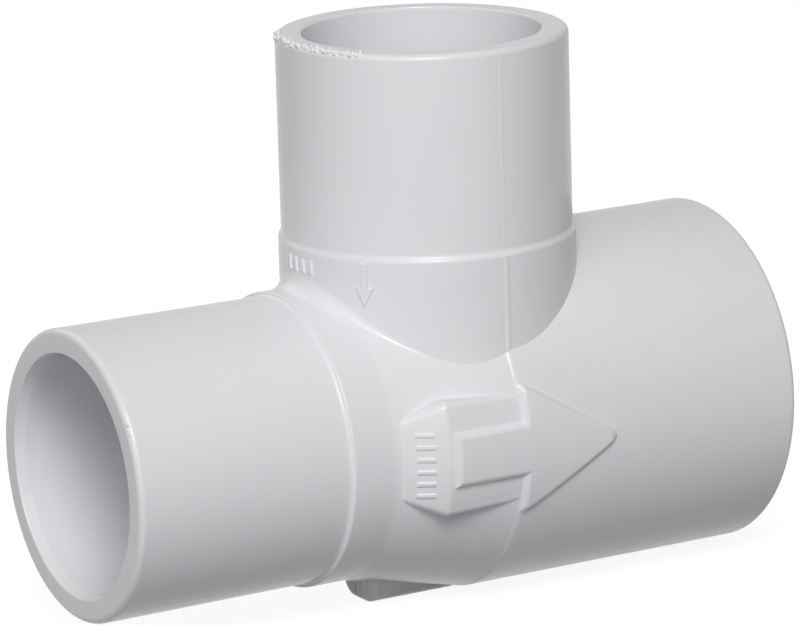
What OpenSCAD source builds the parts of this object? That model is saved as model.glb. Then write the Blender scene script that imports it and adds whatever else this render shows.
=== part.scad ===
// Venturi tee, moulded in one piece: inlet hub, cone, outlet body, air branch and inner nozzle.
// Water flows along +X and air comes down the branch, which points along +Z.
// The origin is on the run axis, where the inlet socket's straight wall begins.

/* [Run] */
// Outside diameter of the inlet hub
inlet_od = 59; // [57:0.5:63]
// Outside diameter of the outlet body
outlet_od = 71.7; // [70:0.1:80]
// From the branch axis to the inlet face
inlet_reach = 83; // [78:1:110]
// From the branch axis to the outlet face
outlet_reach = 65.7; // [62:0.1:100]
// Radius of the rounded outer edge of each mouth
rim_round = 1.3; // [0.5:0.1:2]
// Draft of the inlet hub's outside, as an angle
hub_draft = 0.25; // [0:0.05:1]
// From the branch axis to the foot of the hollow that leads up to the shoulder band
shoulder_at = 38; // [36:0.1:46]
// How far the shoulder band stands above the inlet hub
shoulder_step = 0.85; // [0.4:0.05:1.5]
// Radius of the hollow between hub and band
shoulder_hollow = 4.3; // [2:0.1:6]
// Radius of the band's edge
shoulder_edge = 0.4; // [0.2:0.05:0.8]
// From the branch axis to the start of the cone
cone_at = 26.4; // [24:0.1:30]
// How far the cone ends below the outlet body
cone_drop = 0.3; // [0.1:0.1:1]

/* [Branch] */
// Outside diameter of the branch hub
branch_od = 59.2; // [57:0.1:63]
// From the run axis to the branch face
branch_reach = 80; // [74:1:110]
// Where the collar has run out into the branch hub, above the run axis
collar_top = 39.9; // [38:0.1:46]
// How far the collar stands above the branch hub
collar_step = 0.65; // [0.4:0.05:1.5]
// Radius of the two curves of the collar's top edge
collar_round = 1.45; // [1.2:0.05:2]
// Fillet between collar and cone where the inlet side meets the branch
saddle_fillet = 4; // [1.5:0.1:4.5]
// The same fillet where it fades out at the middle of each side
saddle_fillet_side = 0.8; // [0.5:0.1:1.5]

/* [Sockets] */
// Outside diameter of the pipe for the inlet and for the branch
small_pipe_od = 48.26; // [47:0.01:49.5]
// Outside diameter of the pipe for the outlet
large_pipe_od = 60.33; // [59:0.01:61.5]
// Radial clearance of a pipe in its socket
pipe_gap = 0.07; // [0.06:0.01:0.3]
// Depth of the inlet and branch sockets
small_socket_depth = 28; // [24:0.5:30]
// Depth of the outlet socket
large_socket_depth = 29.5; // [24:0.5:31]
// Width of the ledge that stops a small pipe
small_ledge = 2.7; // [1.5:0.1:3.5]
// Width of the ledge that stops a large pipe
large_ledge = 3.2; // [2:0.1:4]
// Entry chamfer of each socket
mouth_chamfer = 0.9; // [0.4:0.1:1.4]

/* [Nozzle] */
// Diameter of the throat
throat_d = 18; // [12:0.5:22]
// Wall of the nozzle, square to its cone
nozzle_wall = 3; // [2:0.1:3.5]
// Wall of the nozzle at its lip
lip_wall = 2; // [1.5:0.1:3]
// From the branch axis to the start of the nozzle's cone
nozzle_at = 31; // [29:0.5:36]
// From the branch axis to the end of the nozzle's cone
throat_at = 2; // [0:0.5:6]
// From the branch axis to the nozzle's lip
lip_at = 6; // [6:0.5:14]
// From the branch axis to the closed end of the mixing chamber
chamber_at = 23; // [22.5:0.5:24]

/* [Flow arrow] */
// Width of the boss where it meets the arrowhead
boss_w = 22.2; // [18:0.2:26]
// Width of the boss at the crease of its ramp
crease_w = 23.4; // [18:0.2:28]
// Width of the ramp at its foot
ramp_w = 16.2; // [10:0.2:24]
// From the branch axis to the crease of the ramp
crease_at = 16.9; // [16:0.1:20]
// From the branch axis to the foot of the ramp
ramp_at = 25.5; // [22:0.1:30]
// How far the boss lies below the outlet body
boss_drop = 0.2; // [0.1:0.05:0.5]
// Width of the shaft at its top
shaft_w = 9.6; // [6:0.2:12]
// From the branch axis to the shaft's top edge
shaft_at = 15.2; // [11:0.2:15.2]
// How far the arrow stands above the outlet body
arrow_rise = 1.4; // [0.8:0.1:2]
// How much the shaft widens from its top to its foot, each side
shaft_draft = 0.9; // [0.3:0.1:1.2]
// Width of the arrowhead
head_w = 25.4; // [20:0.2:30]
// Length of the arrowhead, to the point where its flanks would meet
head_len = 22.5; // [15:0.5:26]
// How far the arrowhead's middle lies below the run axis
head_low = 0.4; // [0:0.1:1]
// Radius of the arrowhead's tip
tip_round = 1.5; // [0.6:0.1:2]
// Slope of the arrowhead's flat end along the run
head_draft = 0.8; // [0.3:0.1:1.2]

/* [Keel] */
// Width of the keel below the cone
keel_w = 12.8; // [10:0.2:18]
// How far the keel reaches below the outlet body's lowest line
keel_low = 0.4; // [0:0.1:1.5]
// From the branch axis to the keel's end face
keel_at = 18.7; // [14:0.1:22]
// Radius of the keel's lower edges
keel_round = 3; // [1:0.1:4.8]
// Radius of the keel's upright end edges
keel_end_round = 1.2; // [0.5:0.1:2]

/* [Hidden] */

// Steps round a full circle, and along the fillet and its arc
$fn = 96;
fillet_turns = 24;
fillet_steps = 8;
fillet_from = 122;
fillet_to = 238;
fillet_fade = 1.8;
fillet_cross = 14;

// Overlap of a cut beyond the face that it opens, and of a piece within its neighbour
over = 1;
boss_sink = 0.15;
keel_deep = 10;

inlet_r = inlet_od / 2;
hub_foot_r = inlet_r - (inlet_reach - rim_round - shoulder_at) * tan(hub_draft);
outlet_r = outlet_od / 2;
branch_r = branch_od / 2;
band_r = hub_foot_r + shoulder_step;
cone_end_r = outlet_r - cone_drop;
collar_r = branch_r + collar_step;
boss_r = outlet_r - boss_drop;
arrow_r = outlet_r + arrow_rise;
keel_bottom = outlet_r + keel_low;

small_socket_r = small_pipe_od / 2 + pipe_gap;
large_socket_r = large_pipe_od / 2 + pipe_gap;
small_way_r = small_socket_r - small_ledge;
large_way_r = large_socket_r - large_ledge;
throat_r = throat_d / 2;
lip_r = throat_r + lip_wall;

// Edge of the shoulder band: its round touches the hollow at the place and radius below
edge_reach = sqrt(shoulder_step * (2 * (shoulder_hollow + shoulder_edge) - shoulder_step));
edge_at = shoulder_at - edge_reach;
edge_touch_r = band_r - shoulder_edge
    + shoulder_edge * (shoulder_hollow + shoulder_edge - shoulder_step) / (shoulder_hollow + shoulder_edge);

// The collar's top edge is a round and a hollow that touch halfway
collar_rise = sqrt(collar_step * (4 * collar_round - collar_step));
collar_mid_r = (collar_r + branch_r) / 2;

// Slopes of the outer cone and of the nozzle, as angles from the run axis
cone_slope = atan((cone_end_r - band_r) / cone_at);
nozzle_slope = atan((small_way_r - throat_r) / (nozzle_at - throat_at));
nozzle_skin = nozzle_wall / cos(nozzle_slope);
frame_x = inlet_reach - mouth_chamfer;

// Radius of the nozzle's outer cone at a place x along the run, and where it meets the straight lip
function nozzle_outer(x) = small_way_r + nozzle_skin - (x + nozzle_at) * tan(nozzle_slope);
nose_at = (small_way_r + nozzle_skin - lip_r) / tan(nozzle_slope) - nozzle_at;

// Turns a profile drawn as [radius, place] about the run axis
module turn_run() {
    rotate([0, 90, 0])
        rotate_extrude()
            children();
}

// Half section of a hub from place 0 up to its mouth, with the mouth's outer edge rounded
module hub_profile(r, len, draft = 0) {
    side = len - rim_round;
    polygon([
        [0, 0],
        [r - side * tan(draft), 0],
        [r, side],
        [0, side]
    ]);
    square([r - rim_round, len]);
    translate([r - rim_round, len - rim_round])
        circle(r = rim_round);
}

// Cutter for a socket whose mouth is at height 0 and which goes down
module socket_cut(r, depth) {
    rotate_extrude()
        polygon([
            [0, over],
            [r + mouth_chamfer + over, over],
            [r, -mouth_chamfer],
            [r, -depth],
            [0, -depth]
        ]);
}

module run_outside() {
    turn_run() {
        mirror([0, 1])
            hub_profile(inlet_r, inlet_reach, hub_draft);
        hub_profile(outlet_r, outlet_reach);
        polygon([
            [0, -edge_at],
            [band_r, -edge_at],
            [band_r, -cone_at],
            [cone_end_r, 0],
            [0, 0]
        ]);
        translate([band_r - shoulder_edge, -edge_at])
            circle(r = shoulder_edge);
        difference() {
            translate([0, -shoulder_at])
                square([edge_touch_r, edge_reach]);
            translate([hub_foot_r + shoulder_hollow, -shoulder_at])
                circle(r = shoulder_hollow);
        }
    }
}

module branch_outside() {
    rotate_extrude() {
        hub_profile(branch_r, branch_reach);
        square([collar_r, collar_top - collar_rise]);
        translate([collar_r - collar_round, collar_top - collar_rise])
            circle(r = collar_round);
        difference() {
            square([collar_mid_r, collar_top]);
            translate([branch_r + collar_round, collar_top])
                circle(r = collar_round);
        }
    }
}

// Boss: a part of the outlet body's round carried on to the inlet side, with a ramp at its end
module boss() {
    intersection() {
        turn_run()
            polygon([
                [0, -ramp_at],
                [run_off(-ramp_at, -boss_sink), -ramp_at],
                [boss_r, -crease_at],
                [boss_r, over],
                [0, over]
            ]);
        translate([0, -over, 0])
            rotate([90, 0, 0])
                linear_extrude(height = outlet_r)
                    polygon([
                        [-ramp_at, ramp_w / 2],
                        [-ramp_at, -ramp_w / 2],
                        [-crease_at, -crease_w / 2],
                        [over, -boss_w / 2],
                        [over, boss_w / 2],
                        [-crease_at, crease_w / 2]
                    ]);
    }
}

// Prism along the run whose section narrows outwards, used for the arrow's shaft
module shaft_prism(len) {
    foot = shaft_w / 2 + shaft_draft;
    rotate([90, 0, 90])
        linear_extrude(height = len)
            polygon([
                [-boss_r + over, foot],
                [-boss_r + over, -foot],
                [-boss_r, -foot],
                [-arrow_r, -shaft_w / 2],
                [-arrow_r - over, -shaft_w / 2],
                [-arrow_r - over, shaft_w / 2],
                [-arrow_r, shaft_w / 2],
                [-boss_r, foot]
            ]);
}

module arrow_shaft() {
    intersection() {
        turn_run()
            polygon([
                [boss_r - over, -shaft_at - shaft_draft],
                [boss_r, -shaft_at - shaft_draft],
                [arrow_r, -shaft_at],
                [arrow_r, over + head_draft],
                [boss_r - over, over + head_draft]
            ]);
        translate([-shaft_at - 2 * over, 0, 0])
            shaft_prism(shaft_at + 3 * over + head_draft);
    }
}

// Outline of the arrowhead seen square to the run, with a rounded tip
module head_outline() {
    half = head_w / 2;
    flank = atan(half / head_len);
    centre = head_len - tip_round / sin(flank);
    touch_x = centre + tip_round * sin(flank);
    touch_z = tip_round * cos(flank);
    polygon([
        [0, half],
        [0, -half],
        [touch_x, -touch_z],
        [touch_x, touch_z]
    ]);
    translate([centre, 0])
        circle(r = tip_round);
}

module arrow_head() {
    intersection() {
        turn_run()
            polygon([
                [outlet_r - over, 0],
                [boss_r, 0],
                [arrow_r, head_draft],
                [arrow_r, head_len + over],
                [outlet_r - over, head_len + over]
            ]);
        translate([0, -outlet_r + head_w / 2, -head_low])
            rotate([90, 0, 0])
                linear_extrude(height = head_w)
                    head_outline();
    }
}

// Keel: rounded pad below the cone, a little lower than the outlet body
module keel() {
    half = keel_w / 2;
    len = keel_at + over;
    intersection() {
        translate([-keel_at, 0, 0])
            rotate([90, 0, 90])
                linear_extrude(height = len) {
                    translate([-half, -keel_bottom + keel_round])
                        square([keel_w, keel_deep - keel_round]);
                    translate([-half + keel_round, -keel_bottom])
                        square([keel_w - 2 * keel_round, keel_deep]);
                    for (side = [-1, 1])
                        translate([side * (half - keel_round), -keel_bottom + keel_round])
                            circle(r = keel_round);
                }
        translate([0, 0, -keel_bottom - over])
            linear_extrude(height = outlet_r) {
                translate([-keel_at + keel_end_round, -half])
                    square([len, keel_w]);
                translate([-keel_at, -half + keel_end_round])
                    square([len, keel_w - 2 * keel_end_round]);
                for (side = [-1, 1])
                    translate([-keel_at + keel_end_round, side * (half - keel_end_round)])
                        circle(r = keel_end_round);
            }
    }
}

// Ball that rolls in the corner between collar and cone, at turn a about the branch axis.
// It is set a little closer than touching, so that its arc crosses both surfaces cleanly.
fillet_dip = 1 - cos(fillet_cross);
function ball_fade(a) = pow(abs(cos(a)), fillet_fade);
function ball_r(a) = saddle_fillet_side + (saddle_fillet - saddle_fillet_side) * ball_fade(a);
function ball_off(a) = ball_r(a) * (1 - fillet_dip);
function run_off(x, d) = max(band_r + d, cone_end_r + x * tan(cone_slope) + d / cos(cone_slope));
function on_cone(x, d) = cone_end_r + x * tan(cone_slope) + d / cos(cone_slope) > band_r + d;
function ball_x(a) = (collar_r + ball_off(a)) * cos(a);
function ball_y(a) = (collar_r + ball_off(a)) * sin(a);
function ball_z(a) = sqrt(pow(run_off(ball_x(a), ball_off(a)), 2) - pow(ball_y(a), 2));
function ball(a) = [ball_x(a), ball_y(a), ball_z(a)];

// Directions from the ball's centre to the collar and to the run
function to_collar(a) = [-cos(a), -sin(a), 0];
function run_tilt(a) = on_cone(ball_x(a), ball_off(a)) ? cone_slope : 0;
function run_len(a) = norm([ball_y(a), ball_z(a)]);
function to_run(a) = [
    sin(run_tilt(a)),
    -cos(run_tilt(a)) * ball_y(a) / run_len(a),
    -cos(run_tilt(a)) * ball_z(a) / run_len(a)
];

// Points of one section: the arc, then two corners inside the solid
function arc_dir(a, t) = let (
        u = to_collar(a),
        v = to_run(a),
        w = acos(u * v)
    ) (u * sin((1 - t) * w) + v * sin(t * w)) / sin(w);
function fillet_section(a) = concat(
    [for (i = [0 : fillet_steps]) ball(a) + ball_r(a) * arc_dir(a, i / fillet_steps)],
    [
        ball(a) + (ball_r(a) + over) * to_run(a),
        ball(a) + (ball_r(a) + over) * to_collar(a) + (ball_r(a) + over) * to_run(a),
        ball(a) + (ball_r(a) + over) * to_collar(a)
    ]
);

module saddle_fillets() {
    n = fillet_steps + 4;
    last = fillet_turns * n;
    turns = [for (k = [0 : fillet_turns]) fillet_from + (fillet_to - fillet_from) * k / fillet_turns];
    rim = [for (i = [-1 : n - 3]) (i + n) % n];
    sides = [
        for (k = [0 : fillet_turns - 1], i = [0 : n - 1])
            let (a = k * n + i, b = k * n + (i + 1) % n)
                each [[a, a + n, b], [b, a + n, b + n]]
    ];
    first_end = [for (i = [0 : n - 3]) [n - 2, rim[i], rim[i + 1]]];
    last_end = [for (i = [0 : n - 3]) [last + n - 2, last + rim[i + 1], last + rim[i]]];
    polyhedron(
        points = [for (a = turns) each fillet_section(a)],
        faces = concat(sides, first_end, last_end),
        convexity = 4
    );
}

// Cavity of the inlet: socket, way and the nozzle's inner cone and throat
module inlet_cavity() {
    translate([-inlet_reach, 0, 0])
        rotate([0, -90, 0])
            socket_cut(small_socket_r, small_socket_depth);
    turn_run()
        polygon([
            [0, -inlet_reach + small_socket_depth - over],
            [small_way_r, -inlet_reach + small_socket_depth - over],
            [small_way_r, -nozzle_at],
            [throat_r, -throat_at],
            [throat_r, lip_at + over],
            [0, lip_at + over]
        ]);
}

// Mixing chamber and outlet socket
module outlet_cavity() {
    translate([outlet_reach, 0, 0])
        rotate([0, 90, 0])
            socket_cut(large_socket_r, large_socket_depth);
    turn_run()
        translate([0, -chamber_at])
            square([large_way_r, chamber_at + outlet_reach - large_socket_depth + over]);
}

module branch_cavity() {
    translate([0, 0, branch_reach])
        socket_cut(small_socket_r, small_socket_depth);
    cylinder(r = small_way_r, h = branch_reach - small_socket_depth + over);
}

// Outside of the nozzle: a cone, then a straight lip
module nozzle_outside() {
    root = -chamber_at - over;
    past = max(nose_at, lip_at) + over;
    turn_run()
        intersection() {
            polygon([
                [0, root],
                [nozzle_outer(root), root],
                [lip_r, nose_at],
                [lip_r, past],
                [0, past]
            ]);
            translate([0, root])
                square([large_way_r, lip_at - root]);
        }
}

module tee_body() {
    color([0.82, 0.83, 0.85])
        translate([frame_x, 0, 0])
            difference() {
                union() {
                    difference() {
                        union() {
                            run_outside();
                            branch_outside();
                            saddle_fillets();
                            boss();
                            arrow_shaft();
                            arrow_head();
                            keel();
                        }
                        outlet_cavity();
                        branch_cavity();
                    }
                    nozzle_outside();
                }
                inlet_cavity();
            }
}

tee_body();
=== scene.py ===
import math

import bpy
from mathutils import Matrix, Vector, noise


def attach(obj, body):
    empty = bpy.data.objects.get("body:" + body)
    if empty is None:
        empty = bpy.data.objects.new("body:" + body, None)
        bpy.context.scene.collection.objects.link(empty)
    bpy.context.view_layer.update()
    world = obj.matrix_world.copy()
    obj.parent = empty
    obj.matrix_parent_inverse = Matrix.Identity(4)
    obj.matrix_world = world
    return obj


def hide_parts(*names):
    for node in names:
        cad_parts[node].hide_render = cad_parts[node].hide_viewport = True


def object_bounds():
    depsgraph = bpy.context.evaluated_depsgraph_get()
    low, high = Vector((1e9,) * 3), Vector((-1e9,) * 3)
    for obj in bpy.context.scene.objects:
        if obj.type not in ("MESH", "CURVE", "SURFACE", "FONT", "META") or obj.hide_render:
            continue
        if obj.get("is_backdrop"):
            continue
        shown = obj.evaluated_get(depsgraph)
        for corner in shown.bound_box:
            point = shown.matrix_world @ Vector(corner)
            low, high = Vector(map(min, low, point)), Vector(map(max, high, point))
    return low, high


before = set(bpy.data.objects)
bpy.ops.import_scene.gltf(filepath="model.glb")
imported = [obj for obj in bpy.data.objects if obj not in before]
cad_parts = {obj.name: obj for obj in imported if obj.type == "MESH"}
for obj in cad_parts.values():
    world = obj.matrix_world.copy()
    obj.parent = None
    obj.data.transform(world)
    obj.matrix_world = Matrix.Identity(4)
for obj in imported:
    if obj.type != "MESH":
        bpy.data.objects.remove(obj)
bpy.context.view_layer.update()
scene = bpy.context.scene
print("venturi tee: frame loaded")

# Camera at the photograph's place
cameraSizes = {
    "aim": (0.07938, 0.00719, 0.02018),  # point that the camera looks at
    "distance": 1.0599,
    "azimuth": 30.21,                    # degrees from -Y towards -X
    "elevation": 13.42,
    "roll": -1.71,
    "lens": 233.02, "sensor": 36, "clipStart": 0.01,
}


def makeCamera(sizes):
    azimuth = math.radians(sizes["azimuth"])
    elevation = math.radians(sizes["elevation"])
    roll = math.radians(sizes["roll"])
    ahead = Vector((
        math.sin(azimuth) * math.cos(elevation),
        math.cos(azimuth) * math.cos(elevation),
        -math.sin(elevation),
    ))
    levelRight = Vector((math.cos(azimuth), -math.sin(azimuth), 0))
    levelUp = levelRight.cross(ahead)
    right = math.cos(roll) * levelRight + math.sin(roll) * levelUp
    up = right.cross(ahead)
    place = Vector(sizes["aim"]) - ahead * sizes["distance"]
    data = bpy.data.cameras.new("photoCamera")
    data.lens = sizes["lens"]
    data.sensor_width = sizes["sensor"]
    data.clip_start = sizes["clipStart"]
    camera = bpy.data.objects.new("photoCamera", data)
    scene.collection.objects.link(camera)
    turn = Matrix((right, up, -ahead)).transposed()
    camera.matrix_world = Matrix.Translation(place) @ turn.to_4x4()
    scene.camera = camera


makeCamera(cameraSizes)
print("camera placed")

# Everything is modelled in millimetres round the middle of the tee, with the flow along X,
# and is brought to metres and to the frame's place at the end.
placeSizes = {
    "mm": 0.001,
    "originAt": 82.1,      # the frame's origin lies this far before the middle of the tee
    "tolerance": 0.0005,   # millimetres within which points count as one
    "near": 0.01,          # millimetres within which an edge counts as lying on a side
    "sharpAngle": 30,      # degrees above which an edge stays crisp in shading
}


# Modelling helpers, used as the mouse would be
def deselectAll():
    bpy.ops.object.select_all(action="DESELECT")


def pick(piece):
    # makes a piece the only selected and the active one
    deselectAll()
    bpy.context.view_layer.objects.active = piece
    piece.select_set(True)


def deletePiece(piece):
    pick(piece)
    bpy.ops.object.delete()


def applyPlace():
    # moves, turns and scales the mesh itself, so that the piece is at the origin again
    bpy.ops.object.transform_apply(location=True, rotation=True, scale=True)


def applyLast(piece):
    bpy.ops.object.modifier_apply(modifier=piece.modifiers[-1].name)


def closeUp():
    # merges seams and poles and turns every face outwards
    bpy.ops.mesh.select_all(action="SELECT")
    bpy.ops.mesh.remove_doubles(threshold=placeSizes["tolerance"])
    bpy.ops.mesh.normals_make_consistent(inside=False)
    bpy.ops.object.mode_set(mode="OBJECT")


def roundEdges(radius, steps):
    bpy.ops.mesh.bevel(offset=radius, segments=steps, affect="EDGES")


def arcPoints(centre, radius, start, end, steps):
    # points of an arc in a profile's plane, angles in degrees
    points = []
    for step in range(steps + 1):
        angle = math.radians(start + (end - start) * step / steps)
        points.append((centre[0] + radius * math.cos(angle), centre[1] + radius * math.sin(angle)))
    return points


def linePoints(start, end, steps):
    # points between two places of a profile, without the places themselves
    return [
        (start[0] + (end[0] - start[0]) * step / steps, start[1] + (end[1] - start[1]) * step / steps)
        for step in range(1, steps)
    ]


def startPoint(name, place):
    # a plane merged to one point, from which a profile or an outline is drawn
    deselectAll()
    bpy.ops.mesh.primitive_plane_add(size=2, location=(0, 0, 0))
    piece = bpy.context.object
    piece.name = name
    piece.data.name = name
    bpy.ops.object.mode_set(mode="EDIT")
    bpy.ops.mesh.select_mode(type="VERT")
    bpy.ops.mesh.select_all(action="SELECT")
    bpy.ops.mesh.merge(type="CENTER")
    bpy.ops.transform.translate(value=place)
    return piece


def drawOn(places, start):
    # extrudes the selected point from place to place
    last = Vector(start)
    for place in places:
        step = Vector(place) - last
        bpy.ops.mesh.extrude_vertices_move(TRANSFORM_OT_translate={"value": step})
        last = Vector(place)


def turnProfile(name, profile, axis, steps):
    # profile is a list of (place along the axis, radius) that starts and ends on the axis
    if axis == "X":
        places = [Vector((along, 0, radius)) for along, radius in profile]
        direction = (1, 0, 0)
    else:
        places = [Vector((radius, 0, along)) for along, radius in profile]
        direction = (0, 0, 1)
    piece = startPoint(name, places[0])
    drawOn(places[1:], places[0])
    bpy.ops.mesh.select_all(action="SELECT")
    bpy.ops.mesh.spin(steps=steps, angle=math.tau, center=(0, 0, 0), axis=direction)
    closeUp()
    return piece


def addBlock(name, middle, lengths):
    # a block in edit mode
    deselectAll()
    bpy.ops.mesh.primitive_cube_add(size=1, location=middle, scale=lengths)
    piece = bpy.context.object
    piece.name = name
    applyPlace()
    bpy.ops.object.mode_set(mode="EDIT")
    return piece


def join(body, tool, operation):
    # one exact union or cut, after which the tool is gone
    pick(body)
    bpy.ops.object.modifier_add(type="BOOLEAN")
    modifier = body.modifiers[-1]
    modifier.operation = operation
    modifier.solver = "MANIFOLD"
    modifier.object = tool
    applyLast(body)
    deletePiece(tool)


def selectWhere(piece, wanted, kind):
    # selects the points or edges of a piece in edit mode whose places pass the test
    bpy.ops.mesh.select_mode(type=kind)
    bpy.ops.mesh.select_all(action="DESELECT")
    bpy.ops.object.mode_set(mode="OBJECT")
    mesh = piece.data
    if kind == "VERT":
        for point in mesh.vertices:
            point.select = wanted(point.co)
    else:
        for edge in mesh.edges:
            first, second = (mesh.vertices[index].co for index in edge.vertices)
            edge.select = wanted(first, second)
    bpy.ops.object.mode_set(mode="EDIT")


# Outside of the run: inlet hub, shoulder, cone and outlet body
runSizes = {
    "steps": 288,
    "inletR": 29.5, "inletReach": 83.0,
    "outletR": 35.85, "outletReach": 65.7,
    "rimRound": 1.3, "rimSteps": 8,
    "hubDraft": 0.25,        # degrees
    "shoulderAt": 36.45, "shoulderStep": 0.85,
    "shoulderHollow": 0.8, "hollowSteps": 8,
    "shoulderEdge": 0.4, "edgeSteps": 4,
    "coneAt": 26.4,          # the cone begins this far before the middle, where it ends
    "coneDrop": 0.22,        # how far below the outlet body the cone ends
    "creaseSoft": 0.5,       # half length of the softened crease before the cone
    "creaseSteps": 4,
    "beadRise": 0.05, "beadHalf": 0.55, "beadSteps": 8,   # parting bead where the mould halves met
    "hubRows": 28, "bandRows": 8, "coneRows": 14, "outletRows": 36,
}


def runRadii(sizes):
    # radii of the hub's foot, of the band behind the shoulder and of the cone's end
    drafted = sizes["inletReach"] - sizes["rimRound"] - sizes["shoulderAt"]
    hubFoot = sizes["inletR"] - drafted * math.tan(math.radians(sizes["hubDraft"]))
    return hubFoot, hubFoot + sizes["shoulderStep"], sizes["outletR"] - sizes["coneDrop"]


def runProfile(sizes):
    rim, hollow, edge = sizes["rimRound"], sizes["shoulderHollow"], sizes["shoulderEdge"]
    inletMouth, outletMouth = -sizes["inletReach"], sizes["outletReach"]
    inletR, outletR = sizes["inletR"], sizes["outletR"]
    hubFoot, band, coneEnd = runRadii(sizes)
    points = [(inletMouth, 0), (inletMouth, inletR - 2 * rim)]
    points += arcPoints((inletMouth + rim, inletR - rim), rim, 180, 90, sizes["rimSteps"])
    points += linePoints((inletMouth + rim, inletR), (-sizes["shoulderAt"], hubFoot), sizes["hubRows"])

    # the shoulder is a hollow arc that runs on into a round edge
    reach = math.sqrt(sizes["shoulderStep"] * (2 * (hollow + edge) - sizes["shoulderStep"]))
    meet = math.degrees(math.acos(reach / (hollow + edge)))
    edgeAt = -sizes["shoulderAt"] + reach
    points += arcPoints((-sizes["shoulderAt"], hubFoot + hollow), hollow, -90, -meet, sizes["hollowSteps"])
    points += arcPoints((edgeAt, band - edge), edge, 180 - meet, 90, sizes["edgeSteps"])[1:]

    # band and cone, with a softened crease between them
    crease, soft = -sizes["coneAt"], sizes["creaseSoft"]
    slope = (coneEnd - band) / sizes["coneAt"]
    points += linePoints((edgeAt, band), (crease - soft, band), sizes["bandRows"])
    for part in range(sizes["creaseSteps"] + 1):
        along = crease + soft * (2 * part / sizes["creaseSteps"] - 1)
        bend = (along - crease + soft) ** 2 / (4 * soft) * slope
        points.append((along, band + bend))
    half = sizes["beadHalf"]
    beadFoot = coneEnd - half * slope
    points += linePoints((crease + soft, band + soft * slope), (-half, beadFoot), sizes["coneRows"])

    # the bead stands on the short step up from the cone to the outlet body
    for part in range(sizes["beadSteps"] + 1):
        share = part / sizes["beadSteps"]
        ground = beadFoot + (outletR - beadFoot) * share
        bead = sizes["beadRise"] * math.sin(math.pi * share) ** 2
        points.append((half * (2 * share - 1), ground + bead))
    points += linePoints((half, outletR), (outletMouth - rim, outletR), sizes["outletRows"])
    points += arcPoints((outletMouth - rim, outletR - rim), rim, 90, 0, sizes["rimSteps"])
    points += [(outletMouth, outletR - 2 * rim), (outletMouth, 0)]
    return points


# Outside of the branch: hub and collar
branchSizes = {
    "steps": 256,
    "hubR": 29.6, "reach": 80.0,
    "rimRound": 1.3, "rimSteps": 8,
    "collarTop": 39.9, "collarStep": 0.65, "collarRound": 1.45, "collarSteps": 5,
    "collarRows": 20, "hubRows": 24,
}


def branchProfile(sizes):
    hub, top, rim = sizes["hubR"], sizes["reach"], sizes["rimRound"]
    bend, step, bendSteps = sizes["collarRound"], sizes["collarStep"], sizes["collarSteps"]
    collar = hub + step
    rise = math.sqrt(step * (4 * bend - step))
    turn = math.degrees(math.acos(1 - step / (2 * bend)))
    low = sizes["collarTop"] - rise
    points = [(0, 0), (0, collar)]
    points += linePoints((0, collar), (low, collar), sizes["collarRows"])
    points += arcPoints((low, collar - bend), bend, 90, 90 - turn, bendSteps)
    points += arcPoints((sizes["collarTop"], hub + bend), bend, 270 - turn, 270, bendSteps)[1:]
    points += linePoints((sizes["collarTop"], hub), (top - rim, hub), sizes["hubRows"])
    points += arcPoints((top - rim, hub - rim), rim, 90, 0, sizes["rimSteps"])
    points += [(top, hub - 2 * rim), (top, 0)]
    return points


# Fillet between collar and cone: a ball rolled round the corner, largest at the inlet side
saddleSizes = {
    "ball": 4.0, "ballSide": 0.25, "fade": 1.5,
    "from": 106, "to": 254,     # degrees round the branch
    "sections": 66, "arcSteps": 12,
    "cross": 5,                 # degrees at which the arc crosses both surfaces
    "deep": 1.2,                # how far beyond the ball the fillet's back lies
}


def rollBall(run, branch, sizes, side):
    # the ball's radius and middle at a share of its way, and the directions to both surfaces
    band, coneEnd = runRadii(run)[1:]
    slope = math.atan((coneEnd - band) / run["coneAt"])
    turn = math.radians(sizes["from"] + (sizes["to"] - sizes["from"]) * side)
    strength = math.sin(math.pi * side) ** sizes["fade"]
    ball = sizes["ballSide"] + (sizes["ball"] - sizes["ballSide"]) * strength
    off = ball * math.cos(math.radians(sizes["cross"]))
    collar = branch["hubR"] + branch["collarStep"]
    x = (collar + off) * math.cos(turn)
    y = (collar + off) * math.sin(turn)
    onCone = coneEnd + x * math.tan(slope) + off / math.cos(slope)
    away = max(band + off, onCone)
    tilt = slope if onCone > band + off else 0
    z = math.sqrt(away * away - y * y)
    toCollar = Vector((-math.cos(turn), -math.sin(turn), 0))
    toRun = Vector((math.sin(tilt), -math.cos(tilt) * y / away, -math.cos(tilt) * z / away))
    return ball, Vector((x, y, z)), toCollar, toRun


def makeSaddle(run, branch, sizes):
    arcSteps = sizes["arcSteps"]
    across = arcSteps + 5       # points of the arc, and four that close the section behind it
    deselectAll()
    bpy.ops.mesh.primitive_grid_add(
        x_subdivisions=across - 1, y_subdivisions=sizes["sections"], size=2)
    piece = bpy.context.object
    piece.name = "saddle"
    for point in piece.data.vertices:
        row, column = divmod(point.index, across)
        ball, centre, toCollar, toRun = rollBall(run, branch, sizes, row / sizes["sections"])
        if column <= arcSteps:
            share = column / arcSteps
            spread = toCollar.angle(toRun)
            direction = (toCollar * math.sin((1 - share) * spread)
                         + toRun * math.sin(share * spread)) / math.sin(spread)
            point.co = centre + ball * direction
        else:
            deep = ball + sizes["deep"]
            behind = (deep * toRun, deep * (toCollar + toRun), deep * toCollar, ball * toCollar)
            point.co = centre + behind[column - arcSteps - 1]
    bpy.ops.object.mode_set(mode="EDIT")
    bpy.ops.mesh.select_all(action="SELECT")
    bpy.ops.mesh.remove_doubles(threshold=placeSizes["tolerance"])
    bpy.ops.mesh.select_all(action="DESELECT")
    bpy.ops.mesh.select_mode(type="EDGE")
    bpy.ops.mesh.select_non_manifold(extend=False)
    bpy.ops.mesh.fill_holes(sides=0)
    closeUp()
    return piece


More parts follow.
